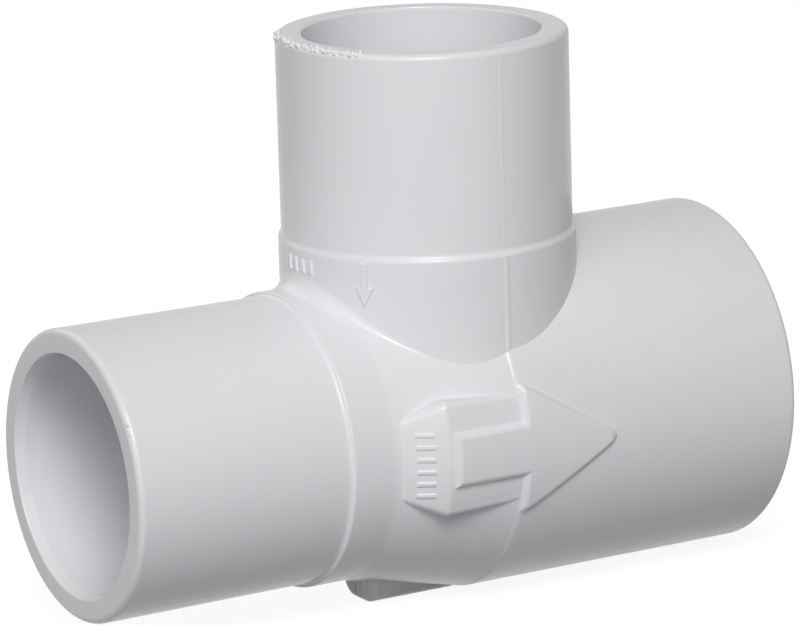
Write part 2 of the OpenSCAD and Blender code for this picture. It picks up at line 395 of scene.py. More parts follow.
def makePlate(name, outline, inner, outer, soft, softSteps, draft=None):
    # a plate between two heights above the run axis on the arrow's side, its outer edge rounded;
    # it is still flat, and its outline is a list of (x, z)
    places = [(x, -inner, z) for x, z in outline]
    piece = startPoint(name, places[0])
    drawOn(places[1:], places[0])
    bpy.ops.mesh.select_all(action="SELECT")
    bpy.ops.mesh.edge_face_add()
    bpy.ops.mesh.select_all(action="SELECT")
    bpy.ops.mesh.extrude_region_move(TRANSFORM_OT_translate={"value": (0, inner - outer, 0)})
    if draft:
        bpy.ops.transform.resize(value=(draft["x"], 1, draft["z"]), center_override=draft["about"])
    bpy.ops.mesh.select_mode(type="EDGE")
    roundEdges(soft, softSteps)
    closeUp()
    return piece


def slicePlate(piece, axis, places):
    # adds an edge loop at each place, so that the plate can follow a round surface
    bpy.context.view_layer.objects.active = piece
    bpy.ops.object.mode_set(mode="EDIT")
    for place in places:
        point = (place, 0, 0) if axis == "X" else (0, 0, place)
        normal = (1, 0, 0) if axis == "X" else (0, 0, 1)
        bpy.ops.mesh.select_all(action="SELECT")
        bpy.ops.mesh.bisect(plane_co=point, plane_no=normal, threshold=placeSizes["tolerance"])
    bpy.ops.object.mode_set(mode="OBJECT")


def evenPlaces(start, end, gap):
    # places between two ends, about a gap apart
    count = max(1, round((end - start) / gap))
    return [start + (end - start) * step / count for step in range(1, count)]


def wrapPlate(piece, fall):
    # carries every point from its height above the axis to the round of that radius,
    # less what the surface has fallen at its x
    for point in piece.data.vertices:
        radius = -point.co.y - fall(point.co.x)
        point.co.y = -math.sqrt(radius ** 2 - point.co.z ** 2)


def wrapOnBranch(piece, turn, radius):
    # carries a flat plate to the branch's round, with its middle at a turn in degrees
    for point in piece.data.vertices:
        away = -point.co.y
        angle = math.radians(turn) + point.co.x / radius
        point.co.x = away * math.cos(angle)
        point.co.y = away * math.sin(angle)


def noFall(x):
    return 0


# Boss under the arrow's shaft, with its ramp
bossSizes = {
    "below": 0.2,            # how far it lies below the outlet body
    "endWidth": 22.2, "creaseWidth": 23.4, "rampWidth": 16.2,
    "endAt": 1.0, "creaseAt": 16.9, "rampAt": 25.5, "rampDrop": 5.4,
    "creaseSoft": 0.6,
    "edge": 1.05, "edgeSteps": 5,
    "sunk": 7.5, "gap": 0.8, "slicedTo": 12.0,
}


def rampSlope(boss):
    return boss["rampDrop"] / (boss["rampAt"] - boss["creaseAt"])


def makeBoss(run, sizes):
    top = run["outletR"] - sizes["below"]
    start, crease, end = -sizes["rampAt"], -sizes["creaseAt"], sizes["endAt"]
    soft, slope = sizes["creaseSoft"], rampSlope(sizes)
    outline = [
        (start, sizes["rampWidth"] / 2), (start, -sizes["rampWidth"] / 2),
        (crease, -sizes["creaseWidth"] / 2), (end, -sizes["endWidth"] / 2),
        (end, sizes["endWidth"] / 2), (crease, sizes["creaseWidth"] / 2),
    ]
    piece = makePlate("boss", outline, top - sizes["sunk"], top, sizes["edge"], sizes["edgeSteps"])
    slicePlate(piece, "Z", evenPlaces(-sizes["slicedTo"], sizes["slicedTo"], sizes["gap"]))
    slicePlate(piece, "X", [crease - soft, crease - soft / 2, crease, crease + soft / 2, crease + soft])

    def ramp(x):
        if x >= crease + soft:
            return 0
        if x > crease - soft:
            return slope * (crease + soft - x) ** 2 / (4 * soft)
        return slope * (crease - x)

    wrapPlate(piece, ramp)
    return piece


# Raised flow arrow: a shaft on the boss and a head on the outlet body, with sloping sides
arrowSizes = {
    "rise": 1.0, "draft": 0.95,      # the sides lean in by the draft over their height
    "shaftWidth": 9.6, "shaftAt": 15.2, "shaftEnd": 2.0,
    "headWidth": 25.2, "headLength": 22.0, "headLow": 0.45, "headAt": 0.85,
    "tipRound": 1.5, "tipSteps": 8, "cornerRound": 0.7, "cornerSteps": 4,
    "edge": 0.5, "edgeSteps": 4,
    "sunk": 1.2, "gap": 0.8,
}


def arrowHeights(run, boss, sizes):
    # heights of the arrow's foot and face, and how much further the foot reaches on each side
    top = run["outletR"] + sizes["rise"]
    bottom = run["outletR"] - boss["below"] - sizes["sunk"]
    return bottom, top, sizes["draft"] * (top - bottom) / (sizes["rise"] + boss["below"])


def makeShaft(run, boss, sizes):
    bottom, top, spread = arrowHeights(run, boss, sizes)
    half, end = sizes["shaftWidth"] / 2, sizes["shaftEnd"]
    front, wide = -sizes["shaftAt"] - spread, half + spread
    outline = [(front, wide), (front, -wide), (end, -wide), (end, wide)]
    draft = {"x": (end + sizes["shaftAt"]) / (end - front), "z": half / wide, "about": (end, 0, 0)}
    piece = makePlate("shaft", outline, bottom, top, sizes["edge"], sizes["edgeSteps"], draft)
    slicePlate(piece, "Z", evenPlaces(-wide, wide, sizes["gap"]))
    wrapPlate(piece, noFall)
    return piece


def makeHead(run, boss, sizes):
    bottom, top, spread = arrowHeights(run, boss, sizes)
    half, length, back = sizes["headWidth"] / 2, sizes["headLength"], sizes["headAt"]
    low, corner = sizes["headLow"], sizes["cornerRound"]
    # the middle of the circle that touches all three sides, about which the foot is larger
    inRadius = half * (length - back) / (half + math.hypot(half, length - back))
    middle = back + inRadius
    larger = (inRadius + spread) / inRadius
    flank = math.atan(half / length)
    centre = length - sizes["tipRound"] / math.sin(flank)
    angle = 90 - math.degrees(flank)
    inset = corner / math.tan(math.radians(angle / 2))
    outline = arcPoints((back + corner, half - inset), corner, angle, 180, sizes["cornerSteps"])
    outline += arcPoints((back + corner, inset - half), corner, 180, 360 - angle, sizes["cornerSteps"])
    outline += arcPoints((centre, 0), sizes["tipRound"], -angle, angle, sizes["tipSteps"])
    outline = [(middle + (x - middle) * larger, z * larger - low) for x, z in outline]
    draft = {"x": 1 / larger, "z": 1 / larger, "about": (middle, 0, -low)}
    piece = makePlate("head", outline, bottom, top, sizes["edge"], sizes["edgeSteps"], draft)
    wide = half * larger
    slicePlate(piece, "Z", evenPlaces(-wide - low, wide - low, sizes["gap"]))
    wrapPlate(piece, noFall)
    return piece


# Keel: rounded pad below the cone
keelSizes = {
    "width": 12.8, "at": 18.7, "past": 1.0,
    "low": 0.6,              # how far it stands below the outlet body
    "height": 12.0,
    "lowerRound": 4.2, "lowerSteps": 14,
    "endRound": 1.1, "endSteps": 4,
}


def makeKeel(run, sizes):
    bottom = -run["outletR"] - sizes["low"]
    length, half, near = sizes["at"] + sizes["past"], sizes["width"] / 2, placeSizes["near"]
    piece = addBlock("keel", (-sizes["at"] + length / 2, 0, bottom + sizes["height"] / 2),
                     (length, sizes["width"], sizes["height"]))
    selectWhere(piece, lambda a, b: a.z < bottom + near and b.z < bottom + near
                and abs(abs(a.y) - half) < near and abs(a.y - b.y) < near, "EDGE")
    roundEdges(sizes["lowerRound"], sizes["lowerSteps"])
    selectWhere(piece, lambda a, b: max(a.x, b.x) < -sizes["at"] + near
                and min(a.z, b.z) < bottom + sizes["height"] - near, "EDGE")
    roundEdges(sizes["endRound"], sizes["endSteps"])
    closeUp()
    return piece


# Ways and sockets
boreSizes = {
    "steps": 192, "rows": 16,
    "smallSocketR": 24.2, "largeSocketR": 30.235,
    "smallDepth": 28.0, "largeDepth": 29.5,
    "smallWayR": 21.5, "largeWayR": 27.035,
    "leadIn": 0.45, "runLead": 2.4, "branchLead": 0.6,    # depth and lengths of the taper at the mouths
    "soft": 0.25,                   # reach of a rounded edge
    "softMiddle": 0.3,              # share of it by which the round's middle point stands off
    "bendStart": 0.2, "bendMiddle": 0.05,   # the same where the taper meets the wall
    "chamberAt": 23.0, "past": 1.0,
}


def socketProfile(mouth, way, socket, depth, end, lead, sizes):
    # mouth is on the positive side; the profile runs inwards to its end on the axis
    past, soft = sizes["past"], sizes["soft"]
    cut = soft * sizes["softMiddle"]
    ledge, lip, wallAt = mouth - depth, socket + sizes["leadIn"], mouth - lead
    points = [(mouth + past, 0), (mouth + past, lip + soft), (mouth, lip + soft)]
    points += [(mouth - cut, lip + cut), (mouth - soft, lip)]
    points += [(wallAt + soft, socket + soft * sizes["bendStart"])]
    points += [(wallAt, socket + soft * sizes["bendMiddle"]), (wallAt - soft, socket)]
    points += linePoints((wallAt - soft, socket), (ledge, socket), sizes["rows"])
    points += [(ledge + soft, socket), (ledge, socket - soft)]
    points += [(ledge, way + 2 * soft), (ledge, way + soft), (ledge - cut, way + cut), (ledge - soft, way)]
    points += linePoints((ledge - soft, way), (end, way), sizes["rows"])
    points += [(end, way), (end, 0)]
    return points


# Nozzle between inlet and mixing chamber
nozzleSizes = {
    "steps": 160,
    "throatR": 9.0, "wall": 3.0, "lipWall": 2.0,
    "nozzleAt": 31.0, "throatAt": 2.0, "lipAt": 6.0,
    "lipRound": 0.3, "lipSteps": 3,
    "bend": 0.6, "bendMiddle": 0.05, "bendEnd": 0.26,   # half length of the bend at the start, and its falls
    "outsideRows": 12, "lipRows": 4, "coneRows": 24, "throatRows": 6,
}


def nozzleOutside(bores, sizes):
    way, soft, lipAt = bores["smallWayR"], sizes["lipRound"], sizes["lipAt"]
    slope = math.atan((way - sizes["throatR"]) / (sizes["nozzleAt"] - sizes["throatAt"]))
    skin = sizes["wall"] / math.cos(slope)
    lip = sizes["throatR"] + sizes["lipWall"]
    nose = (way + skin - lip) / math.tan(slope) - sizes["nozzleAt"]
    root = -bores["chamberAt"] - bores["past"]
    rootR = way + skin - (root + sizes["nozzleAt"]) * math.tan(slope)
    points = [(root, 0), (root, rootR)]
    points += linePoints((root, rootR), (nose, lip), sizes["outsideRows"])
    points += [(nose, lip)] + linePoints((nose, lip), (lipAt - soft, lip), sizes["lipRows"])
    points += arcPoints((lipAt - soft, lip - soft), soft, 90, 0, sizes["lipSteps"])
    points += [(lipAt, 0)]
    return points


def inletProfile(bores, sizes, reach):
    way, throat, bend = bores["smallWayR"], sizes["throatR"], sizes["bend"]
    nozzleAt, throatAt, end = -sizes["nozzleAt"], -sizes["throatAt"], sizes["lipAt"] + bores["past"]
    mirrored = socketProfile(reach, way, bores["smallSocketR"], bores["smallDepth"],
                             sizes["nozzleAt"], bores["runLead"], bores)[:-2]
    points = [(-along, radius) for along, radius in mirrored]
    coneStart = (nozzleAt + bend, way - sizes["bendEnd"])
    points += [(nozzleAt - bend, way), (nozzleAt, way - sizes["bendMiddle"]), coneStart]
    points += linePoints(coneStart, (throatAt, throat), sizes["coneRows"])
    points += [(throatAt, throat)]
    points += linePoints((throatAt, throat), (end, throat), sizes["throatRows"])
    points += [(end, throat), (end, 0)]
    return points


# Raised marks: plain ticks in a row on the ramp and on the collar, and an arrow down the collar
markSizes = {
    "rise": 0.34, "sunk": 0.6, "edge": 0.28, "edgeSteps": 3,
    "tickWidth": 0.95,
    "rampAt": -21.1, "rampLength": 3.3,
    "rampPlaces": (-7.0, -4.5, -2.0, 0.5, 3.0, 5.5),      # heights on the ramp
    "collarTurn": 181.5, "collarAt": 35.6, "collarLength": 2.9,
    "collarPlaces": (-3.9, -1.3, 1.3, 3.9),               # places round the collar
    "arrowTurn": -145.3, "arrowTop": 38.0, "arrowNeck": 33.0, "arrowTip": 29.1,
    "arrowHalf": 0.8, "headHalf": 2.0, "arrowRise": 0.42,
}


def tick(length, width):
    # outline of a short bar along x
    x, z = length / 2, width / 2
    return [(-x, z), (-x, -z), (x, -z), (x, z)]


def turnDown(outline):
    # the same outline pointing down
    return [(z, -x) for x, z in outline]


def repeatPlate(first, places, wrap):
    # copies of a flat plate, moved to each (x, z) and wrapped on their surface
    copies = []
    for x, z in places:
        pick(first)
        bpy.ops.object.duplicate(linked=False)
        copy = bpy.context.object
        bpy.ops.transform.translate(value=(x, 0, z))
        bpy.ops.object.transform_apply(location=True, rotation=False, scale=False)
        wrap(copy)
        copies.append(copy)
    deletePiece(first)
    return copies


def makeRampMarks(run, boss, sizes):
    face = run["outletR"] - boss["below"]
    slope = rampSlope(boss)
    first = makePlate("rampMark", tick(sizes["rampLength"], sizes["tickWidth"]),
                      face - sizes["sunk"], face + sizes["rise"], sizes["edge"], sizes["edgeSteps"])

    def ramp(x):
        return slope * max(0, -boss["creaseAt"] - x)

    places = [(sizes["rampAt"], place) for place in sizes["rampPlaces"]]
    return repeatPlate(first, places, lambda mark: wrapPlate(mark, ramp))


def makeCollarMarks(branch, sizes):
    collar = branch["hubR"] + branch["collarStep"]
    low = collar - sizes["sunk"]
    first = makePlate("collarMark", turnDown(tick(sizes["collarLength"], sizes["tickWidth"])),
                      low, collar + sizes["rise"], sizes["edge"], sizes["edgeSteps"])
    places = [(place, sizes["collarAt"]) for place in sizes["collarPlaces"]]
    marks = repeatPlate(first, places, lambda mark: wrapOnBranch(mark, sizes["collarTurn"], collar))
    half, wide = sizes["arrowHalf"], sizes["headHalf"]
    top, neck = sizes["arrowTop"], sizes["arrowNeck"]
    outline = [
        (-half, top), (-half, neck), (-wide, neck), (0, sizes["arrowTip"]),
        (wide, neck), (half, neck), (half, top),
    ]
    arrow = makePlate("airArrow", outline, low, collar + sizes["arrowRise"],
                      sizes["edge"], sizes["edgeSteps"])
    wrapOnBranch(arrow, sizes["arrowTurn"], collar)
    return marks + [arrow]


# Parting lines of the mould on the branch, front and back
lineSizes = {
    "turns": (-90, 90),         # degrees round the branch
    "hubHalf": 0.5, "hubRise": 0.045, "hubLow": 38.0, "hubShort": 1.5,
    "collarHalf": 0.7, "collarRise": 0.12, "collarLow": 12.0, "collarHigh": 38.4,
    "sunk": 0.5,
    "shift": 0.3,               # how far they lie towards the outlet
    "edgeShare": 0.9, "edgeSteps": 2,
    "topShare": 0.45,           # width of the ridge's top against its foot
}


def makePartingLines(branch, sizes):
    hub = branch["hubR"]
    parts = (
        ("hubLine", hub, sizes["hubHalf"], sizes["hubRise"],
         sizes["hubLow"], branch["reach"] - sizes["hubShort"]),
        ("collarLine", hub + branch["collarStep"], sizes["collarHalf"], sizes["collarRise"],
         sizes["collarLow"], sizes["collarHigh"]),
    )
    lines = []
    for turn in sizes["turns"]:
        for name, ground, half, rise, low, high in parts:
            outline = [(-half, high), (-half, low), (half, low), (half, high)]
            line = makePlate(name, outline, ground - sizes["sunk"], ground + rise,
                             rise * sizes["edgeShare"], sizes["edgeSteps"])
            for point in line.data.vertices:
                if -point.co.y > ground + rise / 2:
                    point.co.x *= sizes["topShare"]
            shift = math.degrees(sizes["shift"] / ground)
            wrapOnBranch(line, turn - math.copysign(shift, turn), ground)
            lines.append(line)
    return lines


# Small upright ribs on the keel's end
ribSizes = {
    "places": (1.7, -0.75, -3.2), "half": 0.5, "rise": 0.25,
    "up": 1.2, "height": 6.0,   # they start this far above the keel's bottom
    "edge": 0.2, "edgeSteps": 3,
}


def makeKeelRibs(run, keel, sizes):
    foot = -run["outletR"] - keel["low"] + sizes["up"]
    front = -keel["at"] - sizes["rise"]
    ribs = []
    for place in sizes["places"]:
        rib = addBlock("keelRib", (-keel["at"], place, foot + sizes["height"] / 2),
                       (2 * sizes["rise"], 2 * sizes["half"], sizes["height"]))
        selectWhere(rib, lambda a, b: max(a.x, b.x) < front + placeSizes["near"], "EDGE")
        roundEdges(sizes["edge"], sizes["edgeSteps"])
        closeUp()
        ribs.append(rib)
    return ribs


def makeBody():
    run, branch, bores, nozzle = runSizes, branchSizes, boreSizes, nozzleSizes
    body = turnProfile("tee_moulding", runProfile(run), "X", run["steps"])
    join(body, turnProfile("branch", branchProfile(branch), "Z", branch["steps"]), "UNION")
    join(body, makeSaddle(run, branch, saddleSizes), "UNION")
    print("outside turned")
    join(body, makeBoss(run, bossSizes), "UNION")
    join(body, makeShaft(run, bossSizes, arrowSizes), "UNION")
    join(body, makeHead(run, bossSizes, arrowSizes), "UNION")
    join(body, makeKeel(run, keelSizes), "UNION")
    for piece in (makeRampMarks(run, bossSizes, markSizes) + makeCollarMarks(branch, markSizes)
                  + makePartingLines(branch, lineSizes) + makeKeelRibs(run, keelSizes, ribSizes)):
        join(body, piece, "UNION")
    print("boss, arrow, keel and marks joined")
    outletCut = socketProfile(run["outletReach"], bores["largeWayR"], bores["largeSocketR"],
                              bores["largeDepth"], -bores["chamberAt"], bores["runLead"], bores)
    branchCut = socketProfile(branch["reach"], bores["smallWayR"], bores["smallSocketR"],
                              bores["smallDepth"], 0, bores["branchLead"], bores)
    inletCut = inletProfile(bores, nozzle, run["inletReach"])
    join(body, turnProfile("outletCut", outletCut, "X", bores["steps"]), "DIFFERENCE")
    join(body, turnProfile("branchCut", branchCut, "Z", bores["steps"]), "DIFFERENCE")
    join(body, turnProfile("nozzle", nozzleOutside(bores, nozzle), "X", nozzle["steps"]), "UNION")
    join(body, turnProfile("inletCut", inletCut, "X", bores["steps"]), "DIFFERENCE")
    print("ways cut")
    return body


def toFrame():
    # from millimetres round the middle of the tee to metres at the frame's place
    bpy.ops.transform.resize(value=(placeSizes["mm"],) * 3, center_override=(0, 0, 0))
    bpy.ops.transform.translate(value=(placeSizes["originAt"] * placeSizes["mm"], 0, 0))
    applyPlace()


def finishBody(body):
    # crisp edges stay crisp and long faces keep true normals
    pick(body)
    bpy.ops.object.mode_set(mode="EDIT")
    bpy.ops.mesh.select_mode(type="VERT")
    bpy.ops.mesh.select_all(action="SELECT")
    bpy.ops.mesh.remove_doubles(threshold=placeSizes["tolerance"])
    bpy.ops.object.mode_set(mode="OBJECT")
    toFrame()
    bpy.ops.object.shade_smooth_by_angle(angle=math.radians(placeSizes["sharpAngle"]))
    bpy.ops.object.modifier_add(type="WEIGHTED_NORMAL")
    body.modifiers[-1].keep_sharp = True
    applyLast(body)


# Ragged flash left on the branch mouth: a thin curled strip
stripSizes = {
    "points": 900, "from": 149, "to": 215,   # degrees round the branch
    "radius": 28.75, "height": 79.75, "rise": 0.42, "rows": 2, "thick": 0.3,
    "ragged": 0.3, "curl": 0.3, "lean": 0.5, "wave": 0.12,
    "coarse": 0.9, "fine": 2.6, "fineShare": 0.7, "leanScale": 0.7, "leanFrom": (40, 0, 0),
    "fade": 0.4, "drop": 0.9,                # towards its ends the strip sinks by this share
}


def ragged(place, scale):
    # the same uneven value at the same place on every run
    return noise.noise(Vector(place) * scale)


def turnOf(point):
    # degrees round the branch
    return math.degrees(math.atan2(point.y, point.x)) % 360


def makeStrip(sizes):
    deselectAll()
    bpy.ops.mesh.primitive_circle_add(
        vertices=sizes["points"], radius=sizes["radius"], fill_type="NOTHING",
        location=(0, 0, sizes["height"]))
    strip = bpy.context.object
    strip.name = "rim_burr"
    strip.data.name = "rim_burr"
    applyPlace()
    start, end, rise = sizes["from"], sizes["to"], sizes["rise"]
    bpy.ops.object.mode_set(mode="EDIT")
    selectWhere(strip, lambda point: not start < turnOf(point) < end, "VERT")
    bpy.ops.mesh.delete(type="VERT")
    bpy.ops.mesh.select_all(action="SELECT")
    for row in range(sizes["rows"]):
        bpy.ops.mesh.extrude_region_move(TRANSFORM_OT_translate={"value": (0, 0, rise / sizes["rows"])})
    bpy.ops.object.mode_set(mode="OBJECT")
    for point in strip.data.vertices:
        share = max(0, (point.co.z - sizes["height"]) / rise)
        fade = math.sin(math.pi * (turnOf(point.co) - start) / (end - start)) ** sizes["fade"]
        away = Vector((point.co.x, point.co.y, 0)).normalized()
        lift = ragged(point.co, sizes["coarse"]) + sizes["fineShare"] * ragged(point.co, sizes["fine"])
        lean = ragged(point.co + Vector(sizes["leanFrom"]), sizes["leanScale"])
        point.co.z += share * fade * sizes["ragged"] * lift - (1 - fade) * share * rise * sizes["drop"]
        point.co += away * (share * sizes["curl"] * (lean + sizes["lean"]) + sizes["wave"] * lift)
    pick(strip)
    bpy.ops.object.modifier_add(type="SOLIDIFY")
    strip.modifiers[-1].thickness = sizes["thick"]
    strip.modifiers[-1].offset = 0
    applyLast(strip)
    return strip


# Torn chips along that strip, and small nicks on the inlet mouth
chipSizes = {
    "count": 84, "size": 0.55, "spread": 0.55, "lift": 0.4, "out": 0.1,
    "sizeMiddle": 0.9, "sizeSpread": 0.9,
    "edgeFall": 0.5,                         # how fast the mouth's round edge falls away
    "acrossPath": (1.7, 0, 5), "upPath": (2.3, 7, 0), "sizePath": (3.1, 1, 1),   # ways through the noise
    "shape": (1.3, 0.9, 0.8), "uneven": 0.5, "grain": 1.2,
    "turns": (1.3, 0.7, 2.1),                # radians by which each chip turns on from the last
    "nickTurns": (28, 30, 32.5, 36), "nickR": 29.1, "nickAt": -82.55,
    "nickSize": 0.42, "nickMiddle": 0.7, "nickSpread": 0.3,
    "sharpAngle": 75,
}


def onPath(path, count):
    # the noise at a count of steps along x on one of those ways
    return ragged((count * path[0], path[1], path[2]), 1)


def makeChip(centre, size, seed, sizes):
    deselectAll()
    bpy.ops.mesh.primitive_ico_sphere_add(subdivisions=2, radius=size, location=(0, 0, 0))
    chip = bpy.context.object
    for point in chip.data.vertices:
        place = (point.co.x + seed, point.co.y, point.co.z)
        uneven = 1 + sizes["uneven"] * ragged(place, sizes["grain"] / size)
        point.co = Vector(value * share for value, share in zip(point.co, sizes["shape"])) * uneven
    chip.rotation_euler = [seed * turn for turn in sizes["turns"]]
    chip.location = centre
    applyPlace()
    return chip


def makeChips(strip, sizes):
    start, end, radius = strip["from"], strip["to"], strip["radius"]
    chips = []
    for count in range(sizes["count"]):
        turn = math.radians(start + (end - start) * (count + 0.5) / sizes["count"])
        away = radius + sizes["out"] + 2 * sizes["spread"] * onPath(sizes["acrossPath"], count)
        fall = max(0, away - radius + sizes["out"]) ** 2 * sizes["edgeFall"]
        height = strip["height"] + sizes["out"] - fall + sizes["lift"] * onPath(sizes["upPath"], count)
        centre = (away * math.cos(turn), away * math.sin(turn), height)
        size = sizes["size"] * (sizes["sizeMiddle"] + sizes["sizeSpread"] * onPath(sizes["sizePath"], count))
        chips.append(makeChip(centre, size, count, sizes))
    for turn in sizes["nickTurns"]:
        angle = math.radians(turn)
        centre = (sizes["nickAt"], -sizes["nickR"] * math.cos(angle), sizes["nickR"] * math.sin(angle))
        size = sizes["nickSize"] * (sizes["nickMiddle"] + sizes["nickSpread"] * math.sin(turn))
        chips.append(makeChip(centre, size, turn, sizes))
    return chips


def makeBurr():
    burr = makeStrip(stripSizes)
    chips = makeChips(stripSizes, chipSizes)
    pick(burr)
    for chip in chips:
        chip.select_set(True)
    bpy.ops.object.join()
    bpy.ops.object.mode_set(mode="EDIT")
    closeUp()
    toFrame()
    bpy.ops.object.shade_smooth_by_angle(angle=math.radians(chipSizes["sharpAngle"]))
    return burr


# Moulded plastic, white and slightly grey
plasticSizes = {
    "colour": (0.862, 0.867, 0.882), "lighter": (0.870, 0.875, 0.889), "darker": (0.850, 0.856, 0.872),
    "roughness": 0.24, "unevenSheen": 0.02, "ior": 1.5, "specular": 0.36,
    "cloudScale": 38, "grainScale": 1500,
    "bump": 0.05, "bumpDistance": 0.0002,
}
# Torn edges of the same plastic, whiter and matt: torn plastic is whiter in itself, and this colour is
# raised further as a painted highlight on the torn flash, its chips and the nicks
burrSizes = {
    "colour": (0.93, 0.935, 0.945), "darker": (0.88, 0.885, 0.90), "roughness": 0.5,
    "cloudScale": 900, "grainScale": 4000,
    "bump": 0.4, "bumpDistance": 0.0002,
}
# Noise that both share
noiseSizes = {
    "detail": 3, "cloudRoughness": 0.5,
    "streakScale": 110, "streakDetail": 2, "streakShare": 0.35,
    "streakStretch": (0.35, 1, 1),           # flow streaks lie along the run
    "grainDetail": 2,
    "low": 0.3, "high": 0.7,                 # nearly all values of the noise lie between these
}


def makeCloudGroup(sizes):
    # uneven shade, sheen and surface of a moulded wall, from Object coordinates
    group = bpy.data.node_groups.new("mouldedWall", "ShaderNodeTree")
    for name, kind in (("Place", "Vector"), ("Cloud scale", "Float"), ("Grain scale", "Float")):
        group.interface.new_socket(name=name, in_out="INPUT", socket_type="NodeSocket" + kind)
    for name in ("Shade", "Sheen", "Surface"):
        group.interface.new_socket(name=name, in_out="OUTPUT", socket_type="NodeSocketFloat")
    nodes, links = group.nodes, group.links
    start = nodes.new("NodeGroupInput")
    end = nodes.new("NodeGroupOutput")
    cloud = nodes.new("ShaderNodeTexNoise")
    cloud.inputs["Detail"].default_value = sizes["detail"]
    cloud.inputs["Roughness"].default_value = sizes["cloudRoughness"]
    links.new(start.outputs["Place"], cloud.inputs["Vector"])
    links.new(start.outputs["Cloud scale"], cloud.inputs["Scale"])
    stretch = nodes.new("ShaderNodeMapping")
    stretch.inputs["Scale"].default_value = sizes["streakStretch"]
    links.new(start.outputs["Place"], stretch.inputs["Vector"])
    streak = nodes.new("ShaderNodeTexNoise")
    streak.inputs["Scale"].default_value = sizes["streakScale"]
    streak.inputs["Detail"].default_value = sizes["streakDetail"]
    links.new(stretch.outputs["Vector"], streak.inputs["Vector"])
    both = nodes.new("ShaderNodeMix")
    both.inputs["Factor"].default_value = sizes["streakShare"]
    links.new(cloud.outputs["Fac"], both.inputs["A"])
    links.new(streak.outputs["Fac"], both.inputs["B"])
    links.new(both.outputs["Result"], end.inputs["Shade"])
    links.new(streak.outputs["Fac"], end.inputs["Sheen"])
    grain = nodes.new("ShaderNodeTexNoise")
    grain.inputs["Detail"].default_value = sizes["grainDetail"]
    links.new(start.outputs["Place"], grain.inputs["Vector"])
    links.new(start.outputs["Grain scale"], grain.inputs["Scale"])
    links.new(grain.outputs["Fac"], end.inputs["Surface"])
    return group


def startMaterial(name, group, sizes):
    # a material with the wall's noise and its fine bump, whose colour is still to be linked
    plastic = bpy.data.materials.new(name)
    plastic.use_nodes = True
    tree = plastic.node_tree
    shader = tree.nodes["Principled BSDF"]
    place = tree.nodes.new("ShaderNodeTexCoord")
    wall = tree.nodes.new("ShaderNodeGroup")
    wall.node_tree = group
    wall.inputs["Cloud scale"].default_value = sizes["cloudScale"]
    wall.inputs["Grain scale"].default_value = sizes["grainScale"]
    tree.links.new(place.outputs["Object"], wall.inputs["Place"])
    bump = tree.nodes.new("ShaderNodeBump")
    bump.inputs["Strength"].default_value = sizes["bump"]
    bump.inputs["Distance"].default_value = sizes["bumpDistance"]
    tree.links.new(wall.outputs["Surface"], bump.inputs["Height"])
    tree.links.new(bump.outputs["Normal"], shader.inputs["Normal"])
    return plastic, tree, shader, wall


def addRange(tree, value, low, high):
    # brings a value of the noise to the range from low to high
    spread = tree.nodes.new("ShaderNodeMapRange")
    spread.inputs["From Min"].default_value = noiseSizes["low"]
    spread.inputs["From Max"].default_value = noiseSizes["high"]
    spread.inputs["To Min"].default_value = low
    spread.inputs["To Max"].default_value = high
    tree.links.new(value, spread.inputs["Value"])
    return spread.outputs["Result"]


def makePlastic(group, sizes):
    plastic, tree, shader, wall = startMaterial("whitePvc", group, sizes)
    shader.inputs["IOR"].default_value = sizes["ior"]
    shader.inputs["Specular IOR Level"].default_value = sizes["specular"]
    ramp = tree.nodes.new("ShaderNodeValToRGB")
    ramp.color_ramp.elements[0].position = noiseSizes["low"]
    ramp.color_ramp.elements[0].color = (*sizes["darker"], 1)
    ramp.color_ramp.elements[1].position = noiseSizes["high"]
    ramp.color_ramp.elements[1].color = (*sizes["lighter"], 1)
    middle = ramp.color_ramp.elements.new(0.5)
    middle.color = (*sizes["colour"], 1)
    tree.links.new(wall.outputs["Shade"], ramp.inputs["Fac"])
    tree.links.new(ramp.outputs["Color"], shader.inputs["Base Color"])
    rough = addRange(tree, wall.outputs["Sheen"], sizes["roughness"] - sizes["unevenSheen"],
                     sizes["roughness"] + sizes["unevenSheen"])
    tree.links.new(rough, shader.inputs["Roughness"])
    return plastic


def makeBurrPlastic(group, sizes):
    plastic, tree, shader, wall = startMaterial("tornPvc", group, sizes)
    shader.inputs["Roughness"].default_value = sizes["roughness"]
    # this colour is partly the torn plastic's own whiteness and partly a painted highlight on the torn edges
    mix = tree.nodes.new("ShaderNodeMix")
    mix.data_type = "RGBA"
    mix.inputs["A"].default_value = (*sizes["darker"], 1)
    mix.inputs["B"].default_value = (*sizes["colour"], 1)
    tree.links.new(addRange(tree, wall.outputs["Shade"], 0, 1), mix.inputs["Factor"])
    tree.links.new(mix.outputs["Result"], shader.inputs["Base Color"])
    return plastic


def dress(piece, material):
    piece.data.materials.clear()
    piece.data.materials.append(material)


body = makeBody()
finishBody(body)
burr = makeBurr()
wallGroup = makeCloudGroup(noiseSizes)
dress(body, makePlastic(wallGroup, plasticSizes))
dress(burr, makeBurrPlastic(wallGroup, burrSizes))
for piece in (body, burr):
    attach(piece, "root")
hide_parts("tee_body")
print("body and burr dressed")

# Plain pale floor with soft light
stageSizes = {
    "side": 8.0, "middle": 0.08,
    "floorColour": (0.29, 0.29, 0.30),
    "glow": 0.90,       # what the camera sees on top of the lit floor, so that it is white
    "world": (0.92, 0.96, 1.0), "worldStrength": 0.11,
}
lampSizes = {
    "key": {"azimuth": -26, "elevation": 40, "distance": 1.5, "size": 0.55, "watts": 10.5},
    "fill": {"azimuth": -43, "elevation": 29, "distance": 1.5, "size": 1.2, "watts": 6.9},
    "back": {"azimuth": -172, "elevation": 34, "distance": 1.5, "size": 1.0, "watts": 2.6},
}


